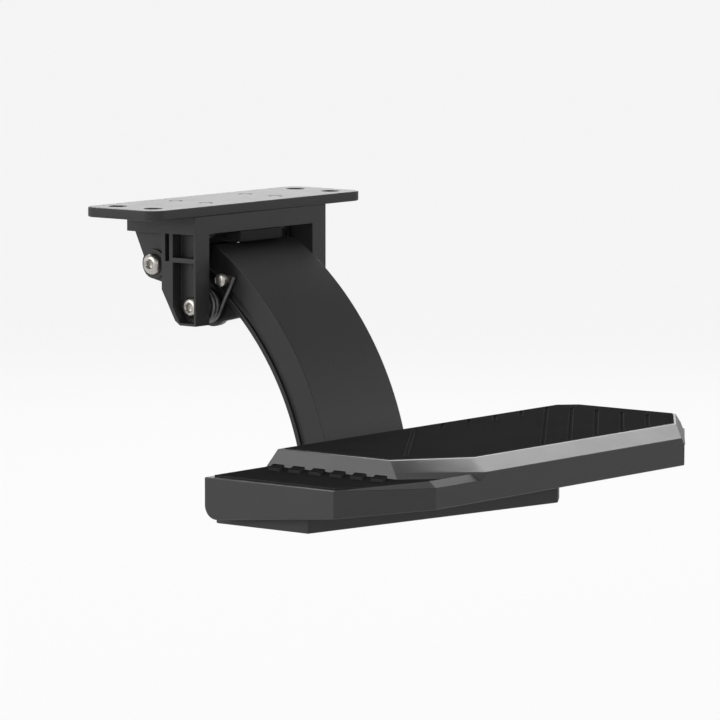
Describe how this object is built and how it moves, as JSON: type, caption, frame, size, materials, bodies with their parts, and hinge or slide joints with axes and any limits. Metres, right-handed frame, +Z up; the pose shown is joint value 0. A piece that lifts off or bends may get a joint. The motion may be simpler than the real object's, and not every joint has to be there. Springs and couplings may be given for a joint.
{
  "type": "retractable bed step",
  "caption": "Truck bed step: a faceted metal tread on a curved arm and levelling link that swing under the bumper from a ribbed hinge casting.",
  "frame": {"origin": "centre of the mounting plate's bolt pattern, on the plate's top face", "axes": "+X to the vehicle's right, +Y forward, +Z up; the tread lies behind and below"},
  "size_m": [0.35, 0.315, 0.1878],
  "materials": {
    "black_casting": "satin black powder coat on die-cast aluminium",
    "arm_black": "smooth satin black powder coat",
    "step_black": "satin black powder coat, lighter on the bevels",
    "tread_black": "matt grained grip",
    "bracket_black": "satin black paint on steel",
    "rubber_black": "matt",
    "bush_bronze": "plain bearing bronze",
    "sleeve_nylon": "nylon",
    "zinc_dark": "black zinc",
    "spring_steel": "phosphated wire",
    "bright_steel": "stainless"
  },
  "bodies": {
    "mount": {"arm_pivot_bolt_left": "bright_steel", "arm_pivot_bolt_right": "bright_steel", "hinge_casting": "black_casting", "link_pin": "bright_steel", "link_pin_nut": "bright_steel", "link_spacer_left": "zinc_dark", "link_spacer_right": "zinc_dark", "mounting_plate": "bracket_black", "roof_bolts": "zinc_dark", "spring_sleeve_left": "sleeve_nylon", "spring_sleeve_right": "sleeve_nylon", "stop_bumper": "rubber_black", "torsion_spring_left": "spring_steel", "torsion_spring_right": "spring_steel"},
    "arm": {"arm_bush_left": "bush_bronze", "arm_bush_right": "bush_bronze", "main_arm": "arm_black", "spring_post_left": "bright_steel", "spring_post_right": "bright_steel", "step_bush_left": "bush_bronze", "step_bush_right": "bush_bronze"},
    "link": {"control_link": "black_casting", "link_bush_lower": "bush_bronze", "link_bush_upper": "bush_bronze"},
    "step": {"ledge_grip": "tread_black", "level_pin": "bright_steel", "level_pin_nut": "bright_steel", "level_spacer_left": "zinc_dark", "level_spacer_right": "zinc_dark", "step_body": "step_black", "step_bracket": "bracket_black", "step_pivot_bolt_left": "bright_steel", "step_pivot_bolt_right": "bright_steel", "step_screws": "zinc_dark", "tread_pad": "tread_black"}
  },
  "joints": [
    {"name": "arm_swing", "type": "hinge", "parent": "mount", "child": "arm", "pos_m": [0, -0.0195, -0.0613], "axis": [1, 0, 0], "range_deg": [0, 50], "deforming": ["torsion_spring_left", "torsion_spring_right"]},
    {"name": "link_swing", "type": "hinge", "parent": "mount", "child": "link", "pos_m": [0, 0.0091, -0.0365], "axis": [1, 0, 0], "range_deg": [0, 50]},
    {"name": "step_level", "type": "hinge", "parent": "arm", "child": "step", "pos_m": [0, -0.11089, -0.17726], "axis": [1, 0, 0], "range_deg": [-50, 0]}
  ],
  "couplings": [
    {"joint": "link_swing", "follows": "arm_swing", "ratio": 1},
    {"joint": "step_level", "follows": "arm_swing", "ratio": -1}
  ]
}
